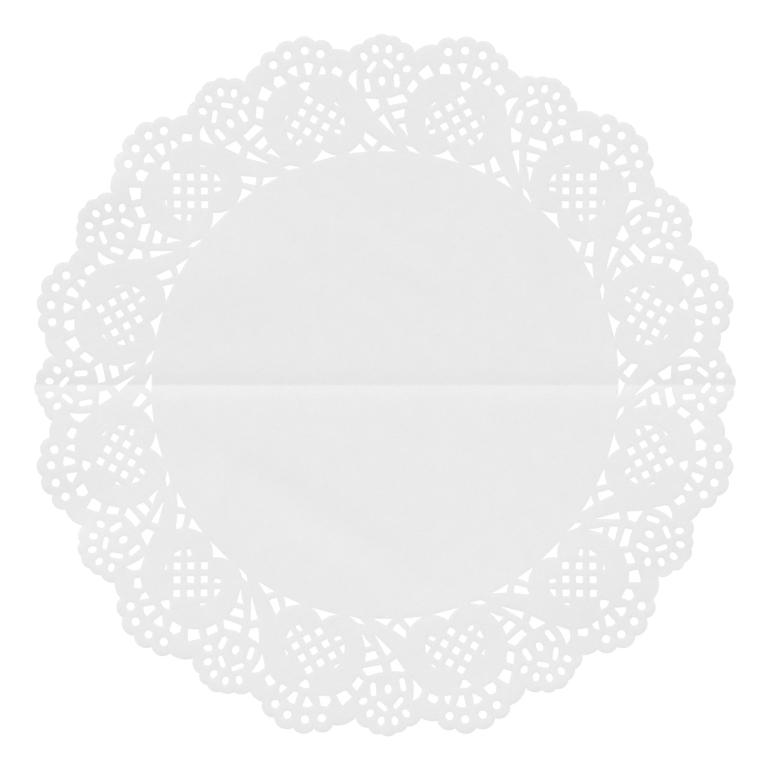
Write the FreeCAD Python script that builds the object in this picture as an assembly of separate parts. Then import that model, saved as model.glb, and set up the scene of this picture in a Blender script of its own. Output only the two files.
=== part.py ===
"""Round paper doily: a plain centre, a die-cut lace border and one fold line across the middle.

Frame: millimetres, +Z up. The doily lies flat with its underside on z = 0 and its centre on the
Z axis. The fold line runs along X at y = 0. The rear leaf is on the +Y side of it and the front
leaf on the -Y side.

The lace repeats every 30 degrees. One repeat is drawn in its own frame, with the centre of the
doily at (0, 0), the middle of its medallion on +Y and +X running clockwise round the rim. A place
in it is (x, y), or polar(angle, radius) with the angle clockwise from the medallion's middle.
"""
import FreeCAD
import Part

import math
import os

from FreeCAD import Vector

# ---- driving dimensions -------------------------------------------------------------------

RIM_RADIUS = 152.7          # crest of the medallions' middle scallops: 305.4 across
PLAIN_RADIUS = 99.7         # edge of the plain centre, where the innermost openings sit
PAPER_THICKNESS = 0.1
REPEATS = 12
REPEAT_ANGLE = 360.0 / REPEATS
FIRST_MEDALLION_ANGLE = -15.0   # from +Y, so that the fold line runs through two rosettes
CORNER_RADIUS = 0.35        # the cutting rule turns every blunt corner this tightly
TIP_RADIUS = 0.15           # and every thin point this tightly
OPENING_INSET = 0.13        # a straight-sided opening lies this far inside its listed corners

# Scalloped rim, clockwise. Each scallop is one arc: (crest), (notch that ends it), both as
# (angle, radius). The first one starts at the notch RIM_START.
RIM_START = (-9.95, 142.2)
RIM_SCALLOPS = (
    ((-8.2, 145.7), (-6.3, 146.5)),             # plain shoulder before the medallion
    ((-5.1, 150.2), (-3.3, 149.5)),             # the medallion's four scallops
    ((-1.4, RIM_RADIUS), (0.05, 151.2)),
    ((1.45, RIM_RADIUS), (3.45, 149.3)),
    ((5.0, 149.2), (6.15, 144.8)),
    ((7.6, 144.3), (8.85, 142.7)),              # plain shoulder after it
    ((9.9, 145.3), (11.2, 145.7)),              # the rosette's five scallops
    ((12.2, 147.9), (13.15, 148.2)),
    ((14.5, 149.7), (15.65, 148.6)),
    ((16.5, 148.9), (17.75, 146.2)),
    ((18.85, 145.8), (20.05, 142.2)),
)

# Medallion: a plain disc with a lattice window, a crown of openings and four eyelets above.
# The corners of every straight-sided opening are listed clockwise.
EYELET_DIAMETER = 3.5
EYELETS = ((-10.7, 144.0), (-3.9, 146.4), (3.85, 146.4), (9.95, 143.3))

CROWN_OPENINGS = (
    ((-22.1, 129.3), (-19.2, 127.2), (-21.1, 122.7), (-23.9, 124.3)),
    ((-17.8, 136.8), (-13.8, 132.9), (-17.5, 129.7), (-20.9, 131.9)),
    ((-11.6, 139.0), (-8.8, 139.0), (-6.9, 135.1), (-11.5, 133.9), (-12.8, 136.2)),
    ((-6.1, 139.7), (-3.9, 141.2), (-1.2, 141.4), (-1.8, 136.0)),
    ((1.9, 141.4), (4.0, 141.3), (6.2, 139.8), (3.7, 135.9), (1.7, 136.1)),
    ((9.2, 138.9), (10.3, 136.6), (9.9, 134.3), (6.5, 134.9)),
    ((14.9, 136.8), (17.4, 133.9), (15.7, 131.5), (12.1, 134.2), (13.0, 135.8)),
    ((-2.8, 132.9), (0.0, 133.8), (2.8, 132.9), (0.7, 129.9), (-0.7, 129.9)),
)
# Fin at the medallion's clockwise side, between the crown and the rosette.
FIN_UPPER_TIP = (23.4, 132.9)
FIN_CREST = (20.7, 132.1)
FIN_SHOULDER = ((18.8, 130.2), (18.5, 129.3), (18.8, 128.3))
FIN_LOWER_TIP = (21.0, 123.9)
FIN_HOLLOW = (21.85, 129.0)

LATTICE_CENTRE = (0.0, 117.15)
LATTICE_STEP = (4.05, 4.2)      # across and along the medallion's middle line
LATTICE_HALF_DIAGONAL = 2.07    # of each square opening, which stands on its corner
LATTICE_FULL = ((0, 2), (-1, 1), (1, 1), (-2, 0), (0, 0), (2, 0), (-1, -1), (1, -1), (0, -2))
LATTICE_CUT = ((-3, 1), (3, 1), (-3, -1), (3, -1))
WINDOW_CENTRE = (0.0, 115.4)    # round window frame that cuts the outermost squares
WINDOW_RADIUS = 12.7
WINDOW_SLOT = (8.55, 109.5)     # short slot at each lower corner of the window
WINDOW_SLOT_LENGTH = 3.0
WINDOW_SLOT_WIDTH = 1.7
WINDOW_SLOT_TILT = -32.0

# Rosette: an oval eye, four petals round it and five eyelets above them.
ROSETTE_CENTRE = (14.42, 129.5)
EYE_LENGTH = 4.0
EYE_WIDTH = 2.95
# Each petal: angle and radius from the rosette's centre, slope of its length, length, width.
PETALS = (
    (-106.0, 6.5, 86.0, 5.8, 2.3),
    (-36.0, 7.4, 37.0, 5.7, 2.1),
    (20.0, 7.8, -56.0, 5.3, 2.1),
    (89.0, 6.3, 78.0, 5.8, 2.45),
)
ROSETTE_EYELETS = ((-36.0, 12.9), (-11.2, 13.9), (12.9, 13.9), (37.3, 12.9), (64.6, 11.8))
ROSETTE_EYELET_LENGTH = 3.7
ROSETTE_EYELET_WIDTH = 2.8

# Stem below the rosette, and the openings between it and the plain centre.
STEM_OPENINGS = (
    ((23.0, 120.4), (28.9, 118.5), (28.7, 115.0), (25.3, 113.5)),
    ((32.2, 118.2), (34.2, 117.7), (39.4, 117.9), (41.0, 114.0), (36.0, 114.3), (32.3, 114.6)),
    ((32.5, 111.7), (38.9, 111.7), (37.5, 108.1), (33.3, 108.2)),
    ((19.5, 106.8), (24.1, 101.3), (21.1, 99.1), (18.2, 103.8)),
)
STEM_SLIVERS = (
    ((29.3, 111.9), (32.4, 100.2), (26.4, 110.3)),
    ((33.9, 105.8), (37.2, 105.8), (37.1, 98.6), (35.6, 102.9)),
    ((9.6, 99.4), (14.0, 101.0), (16.3, 102.6), (18.5, 97.9)),
    ((22.2, 97.1), (24.0, 97.9), (25.9, 99.3), (31.3, 94.5)),
    ((34.5, 96.7), (37.6, 95.0), (40.7, 90.5), (35.9, 93.5)),
)
SPANDREL_HALF_WIDTH = 6.0       # three-cornered opening at the foot of the medallion
SPANDREL_APEX = 103.8
SPANDREL_WAIST = (2.5, 101.4)   # its sides bend inwards through this place


# ---- outlines in the repeat's frame --------------------------------------------------------

def point(place):
    """A place (x, y) as a vector on the underside of the paper."""
    return Vector(place[0], place[1], 0.0)


def polar(angle, radius, centre=(0.0, 0.0), heading=0.0):
    """Place at a clockwise angle from the heading, at a radius from the centre."""
    turn = math.radians(angle + heading)
    return (centre[0] + radius * math.sin(turn), centre[1] + radius * math.cos(turn))


def inset_corners(corners):
    """Corners of the same outline, given clockwise, with every side moved inwards."""
    normals = []
    for index, corner in enumerate(corners):
        side = (point(corners[(index + 1) % len(corners)]) - point(corner)).normalize()
        normals.append(Vector(side.y, -side.x, 0.0))
    moved = []
    for index, corner in enumerate(corners):
        before, after = normals[index - 1], normals[index]
        shift = (before + after) * (OPENING_INSET / (1.0 + before.dot(after)))
        moved.append((corner[0] + shift.x, corner[1] + shift.y))
    return moved


def rounded_polygon(corners, radius):
    """Closed wire through the corners, each one turned with an arc of the given radius."""
    edges = []
    starts = []
    ends = []
    count = len(corners)
    for index in range(count):
        corner = point(corners[index])
        back = (point(corners[index - 1]) - corner).normalize()
        ahead = (point(corners[(index + 1) % count]) - corner).normalize()
        half_angle = back.getAngle(ahead) / 2.0
        reach = radius / math.tan(half_angle)
        bisector = (back + ahead).normalize()
        middle = corner + bisector * (radius / math.sin(half_angle) - radius)
        start = corner + back * reach
        end = corner + ahead * reach
        edges.append(Part.Arc(start, middle, end).toShape())
        starts.append(start)
        ends.append(end)
    sides = [Part.makeLine(ends[index], starts[(index + 1) % count]) for index in range(count)]
    in_order = [edge for pair in zip(edges, sides) for edge in pair]
    return Part.Wire(in_order)


def oval(centre, length, width, slope):
    """Ellipse with its length at a slope, in degrees anticlockwise from +X."""
    ellipse = Part.Ellipse(Vector(0, 0, 0), length / 2.0, width / 2.0)
    wire = Part.Wire(ellipse.toShape())
    wire.rotate(Vector(0, 0, 0), Vector(0, 0, 1), slope)
    wire.translate(point(centre))
    return wire


def slot(centre, length, width, slope):
    """Straight slot with round ends, its length at a slope anticlockwise from +X."""
    half_side = (length - width) / 2.0
    half_width = width / 2.0
    corners = [(-half_side, half_width), (half_side, half_width),
               (half_side, -half_width), (-half_side, -half_width)]
    top_left, top_right, low_right, low_left = [point(corner) for corner in corners]
    right_end = Vector(length / 2.0, 0, 0)
    left_end = Vector(-length / 2.0, 0, 0)
    wire = Part.Wire([
        Part.makeLine(top_left, top_right),
        Part.Arc(top_right, right_end, low_right).toShape(),
        Part.makeLine(low_right, low_left),
        Part.Arc(low_left, left_end, top_left).toShape(),
    ])
    wire.rotate(Vector(0, 0, 0), Vector(0, 0, 1), slope)
    wire.translate(point(centre))
    return wire


def eyelet(centre):
    """Round eyelet of the medallion."""
    return Part.Wire(Part.makeCircle(EYELET_DIAMETER / 2.0, point(centre)))


def fin():
    """Three-cornered opening with a round shoulder, hollow on the side of the rosette."""
    upper_tip, crest, lower_tip = point(FIN_UPPER_TIP), point(FIN_CREST), point(FIN_LOWER_TIP)
    shoulder_start, shoulder, shoulder_end = [point(place) for place in FIN_SHOULDER]
    return Part.Wire([
        Part.Arc(upper_tip, crest, shoulder_start).toShape(),
        Part.Arc(shoulder_start, shoulder, shoulder_end).toShape(),
        Part.makeLine(shoulder_end, lower_tip),
        Part.Arc(lower_tip, point(FIN_HOLLOW), upper_tip).toShape(),
    ])


def spandrel():
    """Three-cornered opening whose two upper sides bend inwards."""
    left = Vector(-SPANDREL_HALF_WIDTH, PLAIN_RADIUS, 0)
    right = Vector(SPANDREL_HALF_WIDTH, PLAIN_RADIUS, 0)
    apex = Vector(0, SPANDREL_APEX, 0)
    waist_x, waist_y = SPANDREL_WAIST
    return Part.Wire([
        Part.Arc(left, Vector(-waist_x, waist_y, 0), apex).toShape(),
        Part.Arc(apex, Vector(waist_x, waist_y, 0), right).toShape(),
        Part.makeLine(right, left),
    ])


def lattice_square(column, row):
    """One square of the lattice window, standing on its corner."""
    x = LATTICE_CENTRE[0] + column * LATTICE_STEP[0]
    y = LATTICE_CENTRE[1] + row * LATTICE_STEP[1]
    half = LATTICE_HALF_DIAGONAL
    return rounded_polygon([(x, y + half), (x + half, y), (x, y - half), (x - half, y)],
                           CORNER_RADIUS)


def lattice_cut_square(column, row):
    """The part of a lattice square that lies inside the round window frame."""
    window = Part.Face(Part.Wire(Part.makeCircle(WINDOW_RADIUS, point(WINDOW_CENTRE))))
    inside = Part.Face(lattice_square(column, row)).common(window)
    return inside.Faces[0].OuterWire


# ---- one repeat of the lace ----------------------------------------------------------------

def medallion_openings():
    """Eyelets, crown, fin, lattice window and foot of one medallion."""
    wires = [eyelet(centre) for centre in EYELETS]
    wires += [rounded_polygon(inset_corners(corners), CORNER_RADIUS) for corners in CROWN_OPENINGS]
    wires.append(fin())
    wires += [lattice_square(column, row) for column, row in LATTICE_FULL]
    wires += [lattice_cut_square(column, row) for column, row in LATTICE_CUT]
    for side in (-1, 1):
        centre = (side * WINDOW_SLOT[0], WINDOW_SLOT[1])
        wires.append(slot(centre, WINDOW_SLOT_LENGTH, WINDOW_SLOT_WIDTH, side * WINDOW_SLOT_TILT))
    wires.append(spandrel())
    return wires


def rosette_openings():
    """Eye, petals and eyelets of one rosette."""
    heading = ROSETTE_CENTRE[0]
    centre = polar(*ROSETTE_CENTRE)
    wires = [oval(centre, EYE_LENGTH, EYE_WIDTH, 90.0 - heading)]
    for angle, radius, slope, length, width in PETALS:
        wires.append(slot(polar(angle, radius, centre, heading), length, width, slope))
    for angle, radius in ROSETTE_EYELETS:
        place = polar(angle, radius, centre, heading)
        outward = 90.0 - heading - angle
        wires.append(oval(place, ROSETTE_EYELET_LENGTH, ROSETTE_EYELET_WIDTH, outward))
    return wires


def stem_openings():
    """Openings along the stem below one rosette and beside the plain centre."""
    wires = [rounded_polygon(inset_corners(corners), CORNER_RADIUS) for corners in STEM_OPENINGS]
    wires += [rounded_polygon(inset_corners(corners), TIP_RADIUS) for corners in STEM_SLIVERS]
    return wires


def rim_of_one_repeat():
    """Scallops of one repeat, from its first notch to the next repeat's first notch."""
    edges = []
    start = point(polar(*RIM_START))
    for crest, notch in RIM_SCALLOPS:
        end = point(polar(*notch))
        edges.append(Part.Arc(start, point(polar(*crest)), end).toShape())
        start = end
    return edges


# ---- the two leaves ------------------------------------------------------------------------

def all_round(shapes):
    """Copies of one repeat's shapes at every repeat round the doily."""
    copies = []
    for repeat in range(REPEATS):
        turn = FIRST_MEDALLION_ANGLE - repeat * REPEAT_ANGLE
        for shape in shapes:
            copies.append(shape.rotated(Vector(0, 0, 0), Vector(0, 0, 1), turn))
    return copies


def leaf(rim, openings, side):
    """The half of the sheet on one side of the fold line: +1 is the rear, -1 the front.

    Openings that the fold line crosses are cut with the half disc. The others go in whole.
    """
    crossed = [wire for wire in openings if wire.BoundBox.YMin < 0.0 < wire.BoundBox.YMax]
    whole = [wire for wire in openings if side * wire.BoundBox.Center.y > 0.0]
    whole = [wire for wire in whole if wire.BoundBox.YMin > 0.0 or wire.BoundBox.YMax < 0.0]
    reach = 2.0 * RIM_RADIUS
    near_y = 0.0 if side > 0 else -reach
    half_plane = Part.makePlane(2.0 * reach, reach, Vector(-reach, near_y, 0))
    disc = Part.makeFace([rim] + crossed, "Part::FaceMakerBullseye")
    half_disc = disc.common(half_plane).Faces[0]
    face = Part.makeFace(half_disc.Wires + whole, "Part::FaceMakerBullseye")
    return face.Faces[0].extrude(Vector(0, 0, PAPER_THICKNESS))


def main():
    os.makedirs("parts", exist_ok=True)
    rim = Part.Wire(all_round(rim_of_one_repeat()))
    openings = all_round(medallion_openings() + rosette_openings() + stem_openings())
    leaves = {"rear_leaf": leaf(rim, openings, 1), "front_leaf": leaf(rim, openings, -1)}
    for name, solid in leaves.items():
        solid.exportStep("parts/" + name + ".step")
        box = solid.BoundBox
        print(name, solid.ShapeType, solid.isValid(), "faces", len(solid.Faces),
              "volume %.1f" % solid.Volume, "box %.2f x %.2f" % (box.XLength, box.YLength))


main()
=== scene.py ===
"""Looks of the paper doily: one die-cut sheet, folded once across the middle and opened again.

The outline and every opening come from the frame's two leaves. The sheet is meshed again from
them, finely enough to carry the fold line, the gentle waves and the pressed edges of real paper,
and then cut into three pieces: the rear leaf, the front leaf and the strip of paper that bends
along the fold line. Lengths are in millimetres, except where a comment says metres.
"""
import math

import bpy
import numpy as np
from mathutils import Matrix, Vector
from mathutils.bvhtree import BVHTree
from mathutils.geometry import delaunay_2d_cdt
from mathutils.kdtree import KDTree


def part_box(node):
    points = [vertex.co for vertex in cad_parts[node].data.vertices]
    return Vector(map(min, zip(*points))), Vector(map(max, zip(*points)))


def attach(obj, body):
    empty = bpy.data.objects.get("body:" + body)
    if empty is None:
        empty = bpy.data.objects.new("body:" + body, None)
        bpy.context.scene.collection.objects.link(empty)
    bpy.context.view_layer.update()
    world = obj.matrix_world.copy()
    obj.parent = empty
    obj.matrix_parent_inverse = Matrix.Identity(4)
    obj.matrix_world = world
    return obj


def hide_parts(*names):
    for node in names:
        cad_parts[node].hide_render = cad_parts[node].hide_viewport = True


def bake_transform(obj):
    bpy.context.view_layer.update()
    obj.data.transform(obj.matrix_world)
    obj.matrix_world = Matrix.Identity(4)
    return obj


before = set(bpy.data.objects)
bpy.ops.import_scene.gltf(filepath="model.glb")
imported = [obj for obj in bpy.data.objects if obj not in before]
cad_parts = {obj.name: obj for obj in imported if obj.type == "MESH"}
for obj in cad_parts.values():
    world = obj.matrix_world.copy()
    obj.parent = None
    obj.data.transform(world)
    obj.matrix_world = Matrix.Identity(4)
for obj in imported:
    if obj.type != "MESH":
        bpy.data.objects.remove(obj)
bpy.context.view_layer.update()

MM = 0.001                      # metres in a millimetre

# ---- the sheet, in millimetres --------------------------------------------------------------

LEAF_NODES = ("front_leaf", "rear_leaf")
PAPER_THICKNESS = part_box("rear_leaf")[1].z / MM
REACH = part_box("rear_leaf")[1].x / MM   # from the middle to the rim along the fold line
LACE_START = 98.0               # radius inside which the paper is plain
UV_SPAN = 320.0                 # the sheet's UV map is this wide, with the doily in its middle

STRIP_HALF_WIDTH = 6.0          # the strip of paper that carries the fold line

# ---- mesh -----------------------------------------------------------------------------------

WELD_DIGITS = 3                 # corners that agree to this many decimals are one corner
FOLD_TOLERANCE = 0.001          # a corner this near y = 0 is on the fold line
MERGE_DISTANCE = 0.0001         # mesh points nearer to each other than this become one
SHORTEST_RUN = 1e-9             # two points nearer than this set no line
ABOVE_PAPER = 10.0              # height from which a place is tested for paper below it
OUTLINE_TOLERANCE = 0.015       # how far a dropped outline point may lie off the kept ones
OUTLINE_STEP = 0.9              # longest straight piece of an outline
EDGE_RING = 0.45                # a ring of points this far inside every cut edge
RING_CLEARANCE = 0.36           # from a ring point to any cut edge
LACE_STEP = 1.25                # distance between mesh points in the lace
LACE_CLEARANCE = 0.69           # from a lace point to an outline or ring point
RIM_ALLOWANCE = 4.0             # the medallions reach further out than the rim on the fold line
PLAIN_STEP = 2.4                # distance between mesh points in the plain centre
PLAIN_GAP = 0.4 * PLAIN_STEP    # between the plain centre's points and the lace's
STRIP_GAP_SHARE = 1.0 / 3.0     # of a step, between a grid's points and the fold strip
# Distances from the fold line to the mesh rows beside it, closest where the paper bends.
ROWS = (0.0, 0.12, 0.25, 0.45, 0.75, 1.2, 1.8, 2.6, 3.6, 4.7, STRIP_HALF_WIDTH)
FINE_ROWS = 1.0                 # rows nearer the fold line than this have the shorter step
FINE_ROW_STEP = 0.7             # distance between the points of such a row
ROW_STEP = 1.12                 # and of the other rows
ROW_CLEARANCE = 0.2             # from a row point to an outline

# ---- relief, in millimetres -----------------------------------------------------------------

REAR_FOLD_SLOPE = 0.069         # how steeply each leaf leaves the fold line
FRONT_FOLD_SLOPE = 0.103
FOLD_SLOPE_LEAN = 0.15          # steeper by this share at the left end, flatter at the right
FOLD_SLOPE_WAVER = 0.06         # and uneven by this share along the line
FOLD_WAVER_LENGTH = 17.0        # along the line, for one radian of the waver
FOLD_GENTLE_X = 22.0            # the line is pressed less hard round this place
FOLD_GENTLE_HALF_LENGTH = 19.0
FOLD_GENTLE_SHARE = 0.30
FOLD_END_START = 100.0          # further out than this, in the lace, the slopes change:
FOLD_END_SPAN = 22.0
REAR_END_SHARE = 0.50           # the rear leaf's is steeper by this share
FRONT_END_SHARE = -0.25         # and the front leaf's is gentler
FOLD_REACH = 6.0                # distance over which that slope dies away
FOLD_SOFTNESS = 0.35            # radius of the crushed line itself
LEAF_TILT = math.radians(0.5)   # each leaf lifts off the table, away from the fold line
EDGE_PRESS = 0.055              # the cutting die presses each cut edge down
EDGE_PRESS_REACH = 0.4
RIM_DOME = 0.10                 # the scallops are domed towards the rim
RIM_DOME_REACH = 1.7
PRESS_START = 0.5               # the pressed relief fades in from here, away from the fold line
PRESS_SPAN = 4.0

# Waves left in the paper: middle (x, y), heading of the crest, its half length, half width, height.
WAVES = (
    (64.0, 104.0, 90.0, 58.0, 11.0, 0.70),
    (-36.0, -52.0, -32.0, 48.0, 9.0, -0.55),
    (-68.0, 44.0, 8.0, 32.0, 20.0, 0.40),
    (17.0, 47.0, -22.0, 17.0, 5.0, 0.15),
    (-14.0, 62.0, -24.0, 34.0, 7.0, 0.12),
    (-66.0, -36.0, 62.0, 26.0, 6.0, 0.16),
    (98.0, -112.0, 5.0, 26.0, 22.0, -1.40),
    (124.0, -84.0, 20.0, 18.0, 15.0, -0.90),
    (-121.0, 83.0, 12.0, 17.0, 12.0, 1.00),
    (-136.0, -54.0, 10.0, 18.0, 13.0, -0.95),
    (38.0, -96.0, 20.0, 45.0, 16.0, 0.30),
)
WAVE_START = 3.0                # the waves fade in from here, away from the fold line
WAVE_SPAN = 40.0
RIM_RIPPLE = 0.32               # height of the slow ripple round the lace
RIM_RIPPLE_COUNTS = ((5, 0.6, 0.6), (7, 2.1, 0.4), (11, 4.0, 0.25))     # count, start, share
RIPPLE_START = 60.0             # the ripple grows from this radius to the rim
RIPPLE_SPAN = 90.0

# ---- materials ------------------------------------------------------------------------------

PAPER_ROUGHNESS = 0.88
PAPER_SPECULAR = 0.25
FORMATION_SIZE = 9.0            # clouds that show in paper, in millimetres
FORMATION_GREYS = ((0.30, 0.780), (0.70, 0.796))    # (level of the noise, grey), low and high
FIBRE_SIZE = 1.4                # matted fibres
FIBRE_GREYS = ((0.32, 0.955), (0.60, 1.0))
TOOTH_SIZE = 0.5                # the finest relief
TOOTH_HEIGHT = 0.00004          # metres
FIBRE_SHARE_OF_TOOTH = 0.45     # the fibres' part of the fine relief
SMOOTH_UP_TO = math.radians(50.0)   # a mesh edge bent less than this is shaded smooth

# ---- table, light and camera ----------------------------------------------------------------

TABLE_SIZE = 6.0                # metres
TABLE_GAP = 0.00005             # metres between the table and the paper lying on it
TABLE_GREY = 0.12
TABLE_ROUGHNESS = 0.9
TABLE_GLOW = 0.90
ROOM_BRIGHTNESS = 0.812
WINDOW_ENERGY = 1.75
WINDOW_WIDTH = math.radians(40.0)       # the angle that the window fills
WINDOW_TILT = math.radians(64.0)        # from straight above
WINDOW_HEADING = math.radians(105.0)    # anticlockwise from +X
VIEW_WIDTH = 0.3285             # metres across what the camera sees
LENS = 120.0                    # millimetres, as the sensor
SENSOR = 36.0
CAMERA_REACH = 20.0             # metres


# ---- outlines from the frame ----------------------------------------------------------------

def open_sides(triangles):
    """Directed sides that only one of the triangles has."""
    sides = set()
    for a, b, c in triangles:
        sides.update(((a, b), (b, c), (c, a)))
    return [(a, b) for a, b in sides if (b, a) not in sides]


def top_outline_edges(node):
    """Edges round the upper face of a leaf, without those along the fold line."""
    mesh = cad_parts[node].data
    corners = np.array([vertex.co for vertex in mesh.vertices]) / MM
    welded, index = np.unique(np.round(corners, WELD_DIGITS), axis=0, return_inverse=True)
    faces = index.reshape(-1)[np.array([polygon.vertices[:] for polygon in mesh.polygons])]
    on_top = (welded[faces][:, :, 2] > PAPER_THICKNESS / 2.0).all(axis=1)
    edges = []
    for a, b in open_sides(faces[on_top]):
        start = tuple(welded[a][:2])
        end = tuple(welded[b][:2])
        along_fold = abs(start[1]) < FOLD_TOLERANCE and abs(end[1]) < FOLD_TOLERANCE
        if not along_fold and start != end:
            edges.append((start, end))
    return edges


def closed_loops(edges):
    """Chains directed edges into closed loops of points."""
    following = {start: end for start, end in edges}
    loops = []
    while following:
        start = next(iter(following))
        loop = [start]
        place = following.pop(start)
        while place != start:
            loop.append(place)
            place = following.pop(place)
        loops.append(np.array(loop))
    return loops


def simplified(loop):
    """The loop without the points that lie on the line between their kept neighbours."""
    kept = [0]
    for index in range(2, len(loop) + 1):
        start = loop[kept[-1]]
        end = loop[index % len(loop)]
        between = loop[kept[-1] + 1:index]
        run = end - start
        length = math.hypot(*run)
        if length < SHORTEST_RUN:
            continue
        off = np.abs(run[0] * (between[:, 1] - start[1]) - run[1] * (between[:, 0] - start[0]))
        if off.max() / length > OUTLINE_TOLERANCE:
            kept.append(index - 1)
    return loop[kept]


def divided(loop):
    """The loop with its long straight pieces divided."""
    points = []
    for start, end in zip(loop, np.roll(loop, -1, axis=0)):
        count = max(1, math.ceil(math.hypot(*(end - start)) / OUTLINE_STEP))
        points += [start + (end - start) * part / count for part in range(count)]
    return np.array(points)


def sheet_loops():
    """Every outline of the whole sheet: the rim first, then the openings."""
    edges = [edge for node in LEAF_NODES for edge in top_outline_edges(node)]
    loops = [divided(simplified(loop)) for loop in closed_loops(sorted(edges))]
    return sorted(loops, key=lambda loop: -np.ptp(loop[:, 0]))


# ---- the flat mesh --------------------------------------------------------------------------

def tree_of(points):
    """Search tree over flat points."""
    tree = KDTree(len(points))
    for index, (x, y) in enumerate(points):
        tree.insert((x, y, 0.0), index)
    tree.balance()
    return tree


def distance_to(tree, place):
    """Distance from a flat place to the nearest point of a tree."""
    return tree.find((place[0], place[1], 0.0))[2]


def loop_edges(loops):
    """Pairs of neighbours along every loop, numbered through all the loops in turn."""
    edges = []
    first = 0
    for loop in loops:
        count = len(loop)
        edges += [(first + index, first + (index + 1) % count) for index in range(count)]
        first += count
    return edges


def edge_ring(loop):
    """Points just inside the paper, beside each point of an outline with the paper on its left."""
    ahead = np.roll(loop, -1, axis=0) - np.roll(loop, 1, axis=0)
    left = np.stack([-ahead[:, 1], ahead[:, 0]], axis=1)
    left /= np.linalg.norm(left, axis=1)[:, None]
    return loop + left * EDGE_RING


def ring_points(loops, near_outline):
    """Edge rings of all outlines, clear of other outlines and of the strip's three long lines."""
    kept = []
    for place in np.concatenate([edge_ring(loop) for loop in loops]):
        from_line = min(abs(place[1]), abs(abs(place[1]) - STRIP_HALF_WIDTH))
        if distance_to(near_outline, place) > RING_CLEARANCE and from_line > ROW_CLEARANCE:
            kept.append(tuple(place))
    return kept


def spaced_grid(step, wanted):
    """Points of a triangular grid where wanted(radius) holds, clear of the fold strip."""
    points = []
    row_step = step * math.sqrt(3.0) / 2.0
    rows = math.ceil(REACH / row_step)
    columns = math.ceil(REACH / step)
    for row in range(-rows, rows + 1):
        for column in range(-columns, columns + 1):
            x = (column + 0.5 * (row % 2)) * step
            y = row * row_step
            if abs(y) > STRIP_HALF_WIDTH + STRIP_GAP_SHARE * step and wanted(math.hypot(x, y)):
                points.append((x, y))
    return points


def fold_row(y, near_outline):
    """A row of points beside the fold line, from rim to rim and clear of the outlines."""
    step = FINE_ROW_STEP if abs(y) < FINE_ROWS else ROW_STEP
    count = math.ceil(REACH / step) + 2
    row = [(column * step, y) for column in range(-count, count + 1)]
    return [place for place in row if distance_to(near_outline, place) > ROW_CLEARANCE]


def in_paper(places):
    """Whether each place lies on a leaf of the frame rather than in an opening."""
    trees = []
    for node in LEAF_NODES:
        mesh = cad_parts[node].data
        corners = [vertex.co / MM for vertex in mesh.vertices]
        trees.append(BVHTree.FromPolygons(corners, [polygon.vertices[:] for polygon in mesh.polygons]))
    down = Vector((0.0, 0.0, -1.0))
    hits = []
    for x, y in places:
        above = Vector((x, y, ABOVE_PAPER))
        hits.append(any(tree.ray_cast(above, down)[0] is not None for tree in trees))
    return np.array(hits)


def flat_triangles(loops):
    """Points and triangles of the sheet, which follow every outline and the strip's long lines."""
    points = [tuple(place) for loop in loops for place in loop]
    edges = loop_edges(loops)
    near_outline = tree_of(points)
    points += ring_points(loops, near_outline)
    near_points = tree_of(points)
    lace = spaced_grid(LACE_STEP, lambda radius: LACE_START < radius < REACH + RIM_ALLOWANCE)
    points += [place for place in lace if distance_to(near_points, place) > LACE_CLEARANCE]
    points += spaced_grid(PLAIN_STEP, lambda radius: radius <= LACE_START - PLAIN_GAP)
    for y in sorted({side * row for side in (-1.0, 1.0) for row in ROWS}):
        row = fold_row(y, near_outline)
        start = len(points)
        points += row
        if y == 0.0 or abs(y) == STRIP_HALF_WIDTH:
            edges += [(index, index + 1) for index in range(start, len(points) - 1)]
    found = delaunay_2d_cdt([Vector(place) for place in points], edges, [], 0, MERGE_DISTANCE)
    flat = np.array([place[:] for place in found[0]])
    triangles = np.array(found[2])
    return flat, triangles[in_paper(flat[triangles].mean(axis=1))]


# ---- relief ---------------------------------------------------------------------------------

def smooth_step(share):
    """Eases from 0 to 1 as the share does."""
    share = np.clip(share, 0.0, 1.0)
    return share * share * (3.0 - 2.0 * share)


def fold_height(x, y):
    """The paper rises from the fold line, steeply at first and then with the leaf's tilt."""
    away = np.sqrt(y * y + FOLD_SOFTNESS ** 2) - FOLD_SOFTNESS
    end = smooth_step((np.abs(x) - FOLD_END_START) / FOLD_END_SPAN)
    rear_slope = REAR_FOLD_SLOPE * (1.0 + REAR_END_SHARE * end)
    front_slope = FRONT_FOLD_SLOPE * (1.0 + FRONT_END_SHARE * end)
    slope = np.where(y > 0.0, rear_slope, front_slope)
    lean = FOLD_SLOPE_LEAN * x / REACH
    gentle = np.exp(-((x - FOLD_GENTLE_X) / FOLD_GENTLE_HALF_LENGTH) ** 2) * FOLD_GENTLE_SHARE
    waver = FOLD_SLOPE_WAVER * np.sin(x / FOLD_WAVER_LENGTH)
    slope = slope * (1.0 - lean - gentle + waver)
    area_under_bell = np.array([math.erf(share) for share in away / FOLD_REACH])
    steep = slope * FOLD_REACH * math.sqrt(math.pi) / 2.0 * area_under_bell
    return steep + away * math.tan(LEAF_TILT)


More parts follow.
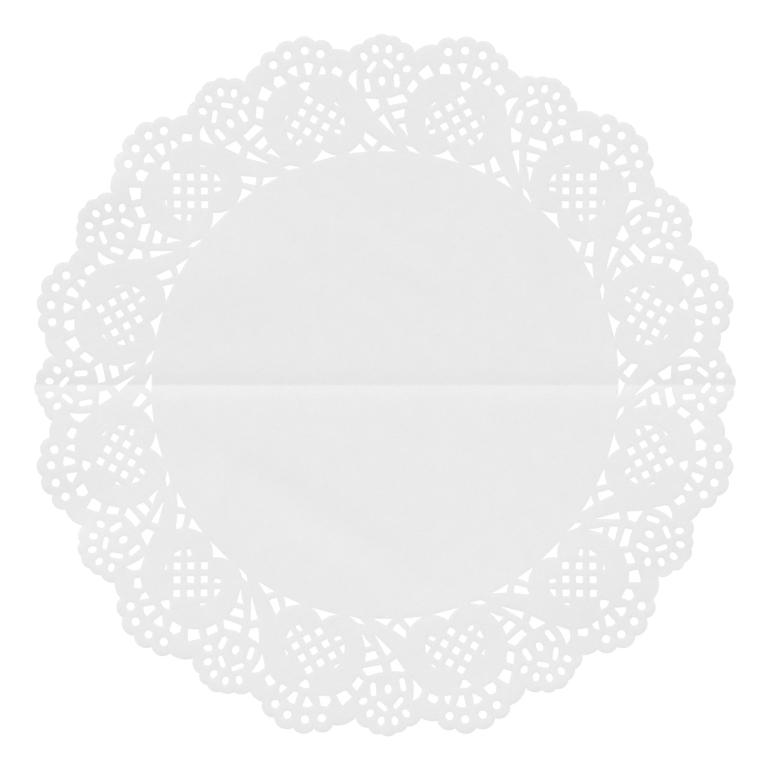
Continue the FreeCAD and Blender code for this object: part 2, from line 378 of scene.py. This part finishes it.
def wave_height(x, y):
    """Gentle waves, and a slow ripple round the lace. Both die away towards the fold line."""
    height = np.zeros(len(x))
    for middle_x, middle_y, heading, half_length, half_width, crest in WAVES:
        turn = math.radians(heading)
        along = (x - middle_x) * math.cos(turn) + (y - middle_y) * math.sin(turn)
        across = (y - middle_y) * math.cos(turn) - (x - middle_x) * math.sin(turn)
        height += crest * np.exp(-(along / half_length) ** 2 - (across / half_width) ** 2)
    angle = np.arctan2(y, x)
    ripple = sum(share * np.sin(count * angle + start) for count, start, share in RIM_RIPPLE_COUNTS)
    height += RIM_RIPPLE * ripple * smooth_step((np.hypot(x, y) - RIPPLE_START) / RIPPLE_SPAN)
    return height * smooth_step((np.abs(y) - WAVE_START) / WAVE_SPAN)


def pressed_height(flat, loops):
    """Relief of the die: cut edges pressed down, and the scallops domed towards the rim."""
    outline = tree_of(np.concatenate(loops))
    rim = tree_of(loops[0])
    from_cut = np.array([distance_to(outline, place) for place in flat])
    from_rim = np.array([distance_to(rim, place) for place in flat])
    press = EDGE_PRESS * np.exp(-from_cut / EDGE_PRESS_REACH)
    dome = RIM_DOME * np.exp(-from_rim / RIM_DOME_REACH)
    return -(press + dome) * smooth_step((np.abs(flat[:, 1]) - PRESS_START) / PRESS_SPAN)


def underside_heights(flat, loops):
    """Height of the paper's underside at each point of the flat mesh, never below the table."""
    x, y = flat[:, 0], flat[:, 1]
    return np.maximum(fold_height(x, y) + wave_height(x, y) + pressed_height(flat, loops), 0.0)


# ---- solid pieces of paper ------------------------------------------------------------------

def paper_piece(name, flat, heights, triangles, material):
    """Closed sheet of paper: the upper side, the underside and a wall round every edge."""
    used, index = np.unique(triangles, return_inverse=True)
    lower = index.reshape(-1, 3)
    count = len(used)
    below = np.column_stack([flat[used], heights[used]])
    above = below + (0.0, 0.0, PAPER_THICKNESS)
    walls = [(a + count, a, b, b + count) for a, b in sorted(open_sides(lower))]
    faces = (lower + count).tolist() + lower[:, ::-1].tolist() + walls
    mesh = bpy.data.meshes.new(name)
    mesh.from_pydata(np.concatenate([below, above]) * MM, [], faces)
    mesh.shade_smooth()
    mesh.set_sharp_from_angle(angle=SMOOTH_UP_TO)
    layer = mesh.uv_layers.new(name="Sheet")
    corners = np.empty(len(mesh.loops), np.int32)
    mesh.loops.foreach_get("vertex_index", corners)
    places = np.concatenate([flat[used], flat[used]])[corners] / UV_SPAN + 0.5
    layer.data.foreach_set("uv", places.astype(np.float32).ravel())
    mesh.materials.append(material)
    piece = bpy.data.objects.new(name, mesh)
    bpy.context.scene.collection.objects.link(piece)
    return piece


# ---- materials ------------------------------------------------------------------------------

def shader_node(tree, kind, **sockets):
    """A shader node with some of its input sockets set."""
    made = tree.nodes.new(kind)
    for name, value in sockets.items():
        made.inputs[name.replace("_", " ")].default_value = value
    return made


def grey_ramp(tree, factor, low, high):
    """Colour ramp between two greys, each given as (position, grey)."""
    ramp = tree.nodes.new("ShaderNodeValToRGB")
    for element, (position, grey) in zip(ramp.color_ramp.elements, (low, high)):
        element.position = position
        element.color = (grey, grey, grey, 1.0)
    tree.links.new(factor, ramp.inputs["Fac"])
    return ramp.outputs["Color"]


def noise(tree, place, size, detail, roughness, distortion=0.0):
    """Noise over the sheet's UV map, with features of a size in millimetres."""
    texture = shader_node(tree, "ShaderNodeTexNoise", Scale=UV_SPAN / size, Detail=detail,
                          Roughness=roughness, Distortion=distortion)
    tree.links.new(place, texture.inputs["Vector"])
    return texture.outputs["Fac"]


def paper_material():
    """Matt white paper: cloudy formation, matted fibres and a slight tooth."""
    material = bpy.data.materials.new("doily_paper")
    material.use_nodes = True
    tree = material.node_tree
    shader = tree.nodes["Principled BSDF"]
    shader.inputs["Roughness"].default_value = PAPER_ROUGHNESS
    shader.inputs["Specular IOR Level"].default_value = PAPER_SPECULAR
    uv_map = tree.nodes.new("ShaderNodeUVMap")
    uv_map.uv_map = "Sheet"
    place = uv_map.outputs["UV"]
    cloud = noise(tree, place, FORMATION_SIZE, detail=5.0, roughness=0.65)
    fibre = noise(tree, place, FIBRE_SIZE, detail=3.0, roughness=0.6, distortion=2.5)
    tooth = noise(tree, place, TOOTH_SIZE, detail=4.0, roughness=0.6, distortion=1.0)
    clouds = grey_ramp(tree, cloud, *FORMATION_GREYS)
    flecks = grey_ramp(tree, fibre, *FIBRE_GREYS)
    colour = tree.nodes.new("ShaderNodeMix")
    colour.data_type = "RGBA"
    colour.blend_type = "MULTIPLY"
    colour.inputs["Factor"].default_value = 1.0
    tree.links.new(clouds, colour.inputs["A"])
    tree.links.new(flecks, colour.inputs["B"])
    tree.links.new(colour.outputs["Result"], shader.inputs["Base Color"])
    relief = tree.nodes.new("ShaderNodeMix")
    relief.inputs["Factor"].default_value = FIBRE_SHARE_OF_TOOTH
    tree.links.new(tooth, relief.inputs["A"])
    tree.links.new(fibre, relief.inputs["B"])
    bump = shader_node(tree, "ShaderNodeBump", Strength=1.0, Distance=TOOTH_HEIGHT)
    tree.links.new(relief.outputs["Result"], bump.inputs["Height"])
    tree.links.new(bump.outputs["Normal"], shader.inputs["Normal"])
    return material


def table_material():
    """White table that glows a little, so that it stays bright beside and under the paper."""
    material = bpy.data.materials.new("white_table")
    material.use_nodes = True
    shader = material.node_tree.nodes["Principled BSDF"]
    shader.inputs["Base Color"].default_value = (TABLE_GREY, TABLE_GREY, TABLE_GREY, 1.0)
    shader.inputs["Roughness"].default_value = TABLE_ROUGHNESS
    shader.inputs["Specular IOR Level"].default_value = 0.0
    shader.inputs["Emission Color"].default_value = (1.0, 1.0, 1.0, 1.0)
    shader.inputs["Emission Strength"].default_value = TABLE_GLOW
    return material


# ---- the object -----------------------------------------------------------------------------

def make_sheet():
    """The doily's three pieces of paper: each leaf's piece rides on its leaf, and the fold strip is
    attached to neither.
    """
    loops = sheet_loops()
    flat, triangles = flat_triangles(loops)
    heights = underside_heights(flat, loops)
    middle = flat[triangles].mean(axis=1)[:, 1]
    material = paper_material()
    shares = {
        "rear_leaf_paper": middle > STRIP_HALF_WIDTH,
        "front_leaf_paper": middle < -STRIP_HALF_WIDTH,
        "fold_line_paper": np.abs(middle) <= STRIP_HALF_WIDTH,
    }
    pieces = {}
    for name, share in shares.items():
        pieces[name] = paper_piece(name, flat, heights, triangles[share], material)
    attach(pieces["rear_leaf_paper"], "rear_half")
    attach(pieces["front_leaf_paper"], "front_half")
    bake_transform(pieces["fold_line_paper"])
    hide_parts("rear_leaf")
    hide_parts("front_leaf")


# ---- table, light and camera ----------------------------------------------------------------

def make_table():
    """Plain white table just under the paper."""
    bpy.ops.mesh.primitive_plane_add(size=TABLE_SIZE, location=(0.0, 0.0, -TABLE_GAP))
    table = bpy.context.object
    table.name = "table"
    table.data.materials.append(table_material())


def make_light():
    """An even white room and one wide, soft window behind the doily, a little to the left."""
    world = bpy.data.worlds.new("room")
    world.use_nodes = True
    background = world.node_tree.nodes["Background"]
    background.inputs["Color"].default_value = (1.0, 1.0, 1.0, 1.0)
    background.inputs["Strength"].default_value = ROOM_BRIGHTNESS
    bpy.context.scene.world = world
    lamp = bpy.data.lights.new("window", "SUN")
    lamp.energy = WINDOW_ENERGY
    lamp.angle = WINDOW_WIDTH
    window = bpy.data.objects.new("window", lamp)
    window.rotation_euler = (0.0, WINDOW_TILT, WINDOW_HEADING)
    bpy.context.scene.collection.objects.link(window)


def make_camera():
    """Straight above the middle of the doily, with the fold line level in the view."""
    data = bpy.data.cameras.new("camera")
    data.lens = LENS
    data.sensor_width = SENSOR
    data.clip_end = CAMERA_REACH
    camera = bpy.data.objects.new("camera", data)
    camera.location = (0.0, 0.0, VIEW_WIDTH * LENS / SENSOR)
    bpy.context.scene.collection.objects.link(camera)
    bpy.context.scene.camera = camera


def main():
    """Makes the sheet and the room."""
    make_sheet()
    make_table()
    make_light()
    make_camera()
    bpy.context.scene.view_settings.view_transform = "Standard"


main()
